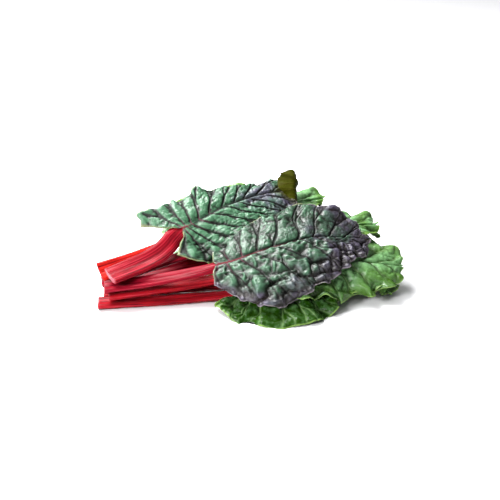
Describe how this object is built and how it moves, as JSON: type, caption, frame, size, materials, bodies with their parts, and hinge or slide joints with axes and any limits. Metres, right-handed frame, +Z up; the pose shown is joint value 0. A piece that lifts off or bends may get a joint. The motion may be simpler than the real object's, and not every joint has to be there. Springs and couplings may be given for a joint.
{
  "type": "swiss chard bunch",
  "caption": "Loose bunch of ruby chard lying on its side: red channelled stalks fan out into broad crinkled leaves, dark purple-green on top and bright green below.",
  "frame": {"origin": "middle of the bunch's bounding box, on the surface that it lies on", "axes": "+X along the bunch from the cut ends of the stalks to the leaf tips, +Z up"},
  "size_m": [0.4078, 0.2398, 0.1295],
  "materials": {
    "leaf_dark": "waxy, purple tinted",
    "leaf_green": "waxy",
    "stalk_red": "moist gloss"
  },
  "bodies": {
    "root": {"blade_table_front": "leaf_green", "stalk_table_front": "stalk_red", "blade_table_right": "leaf_green", "stalk_table_right": "stalk_red", "blade_table_back": "leaf_green", "stalk_table_back": "stalk_red", "blade_green_right": "leaf_green", "stalk_green_right": "stalk_red", "blade_green_back": "leaf_green", "stalk_green_back": "stalk_red", "blade_high_back": "leaf_green", "stalk_high_back": "stalk_red", "blade_dark_left": "leaf_dark", "stalk_dark_left": "stalk_red", "blade_dark_front": "leaf_dark", "stalk_dark_front": "stalk_red"}
  },
  "joints": []
}
